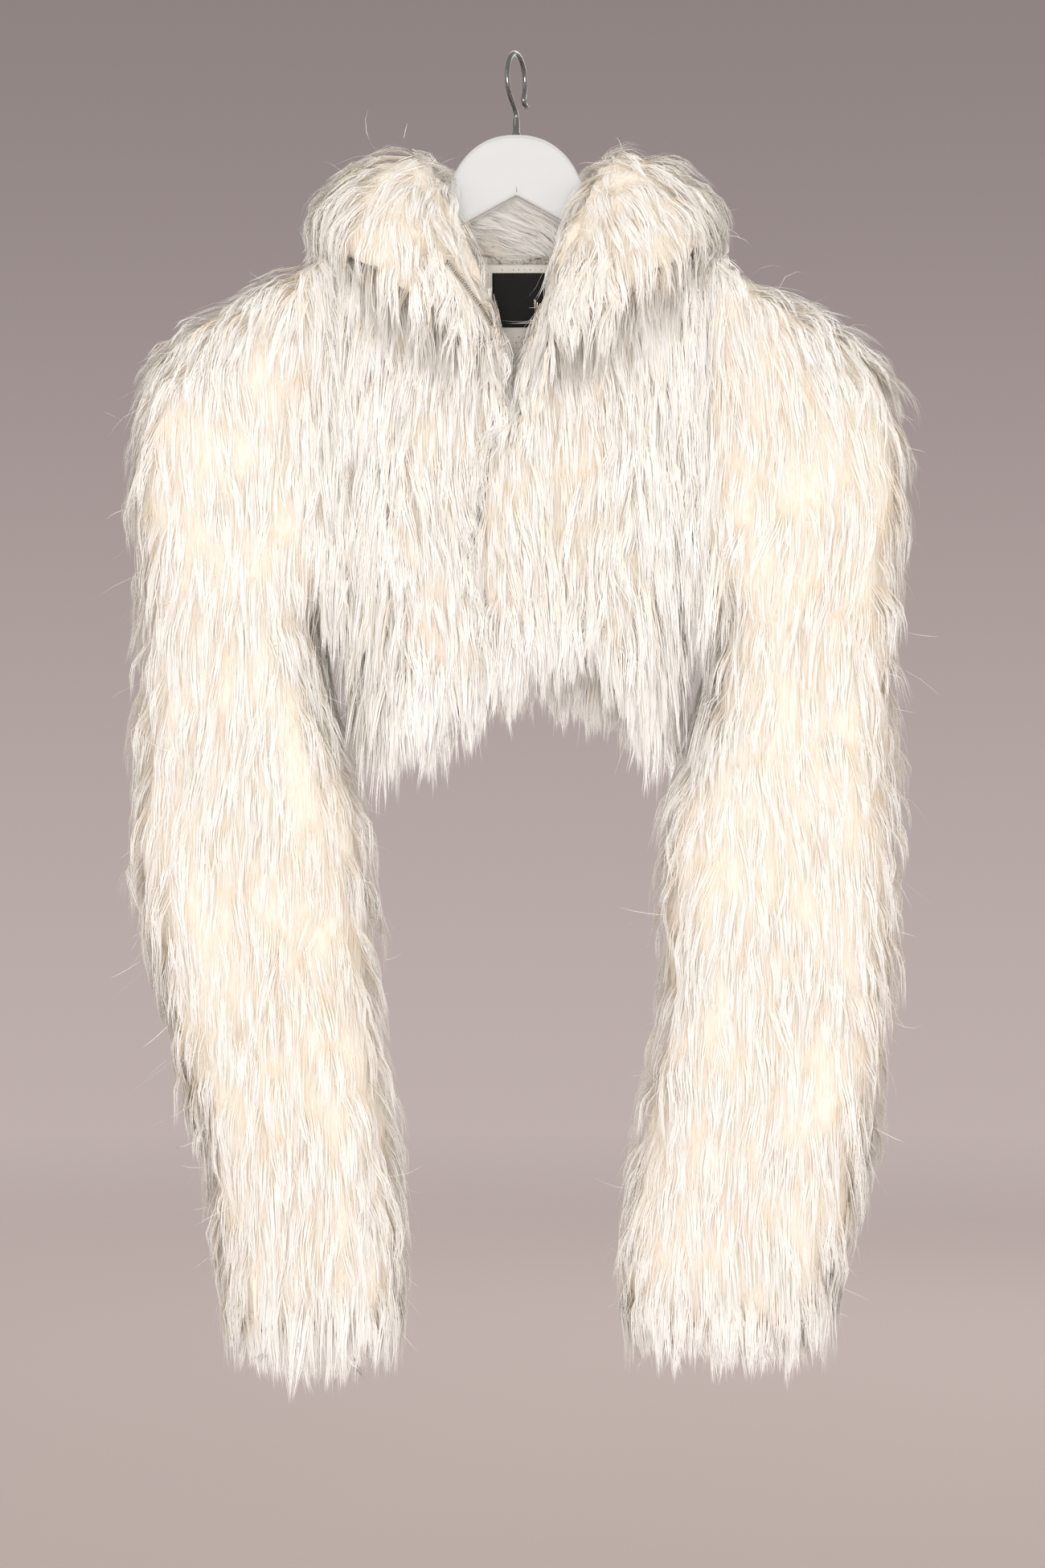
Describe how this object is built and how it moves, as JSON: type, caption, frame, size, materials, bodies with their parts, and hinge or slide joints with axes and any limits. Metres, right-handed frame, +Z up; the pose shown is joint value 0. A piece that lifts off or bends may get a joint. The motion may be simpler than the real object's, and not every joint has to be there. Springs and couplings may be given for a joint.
{
  "type": "fur bolero on a hanger",
  "caption": "Cropped bolero of long shaggy fur with wide sleeves, a high open collar and a front zip, hung on a wooden hanger by its wire hook.",
  "frame": {"origin": "inside top of the hanger's hook, where the whole thing hangs", "axes": "+Z up, +X to the wearer's left, -Y out of the garment's front"},
  "size_m": [0.5824, 0.1873, 1.0096],
  "materials": {
    "ivory_fur": "long shaggy pile, soft sheen",
    "cream_knit": "perforated warp knit, matte",
    "black_woven": "tight satin weave",
    "cream_tape": "woven tape, matte",
    "zip_metal": "satin",
    "white_wood": "white satin paint",
    "chrome_wire": "polished"
  },
  "bodies": {
    "root": {"back": "ivory_fur", "front_right": "ivory_fur", "front_left": "ivory_fur", "sleeve_right": "ivory_fur", "sleeve_left": "ivory_fur", "collar": "ivory_fur", "cuff_locks_right": "ivory_fur", "cuff_locks_left": "ivory_fur", "hem_locks_front_right": "ivory_fur", "hem_locks_front_left": "ivory_fur", "hem_locks_back": "ivory_fur", "back_neck_lining": "cream_knit", "neck_label": "black_woven", "zip_tape_right_open": "cream_tape", "zip_tape_left_open": "cream_tape", "zip_tape_right_closed": "cream_tape", "zip_tape_left_closed": "cream_tape", "zip_slider": "zip_metal", "hanger_board": "white_wood", "hanger_hook": "chrome_wire", "hanger_ferrule": "chrome_wire"},
    "pull": {"zip_pull": "zip_metal"}
  },
  "joints": [
    {"name": "pull_swing", "type": "hinge", "parent": "root", "child": "pull", "pos_m": [-0.003, -0.02397, -0.2375], "axis": [-1, 0, 0], "range_deg": [0, 165]}
  ]
}
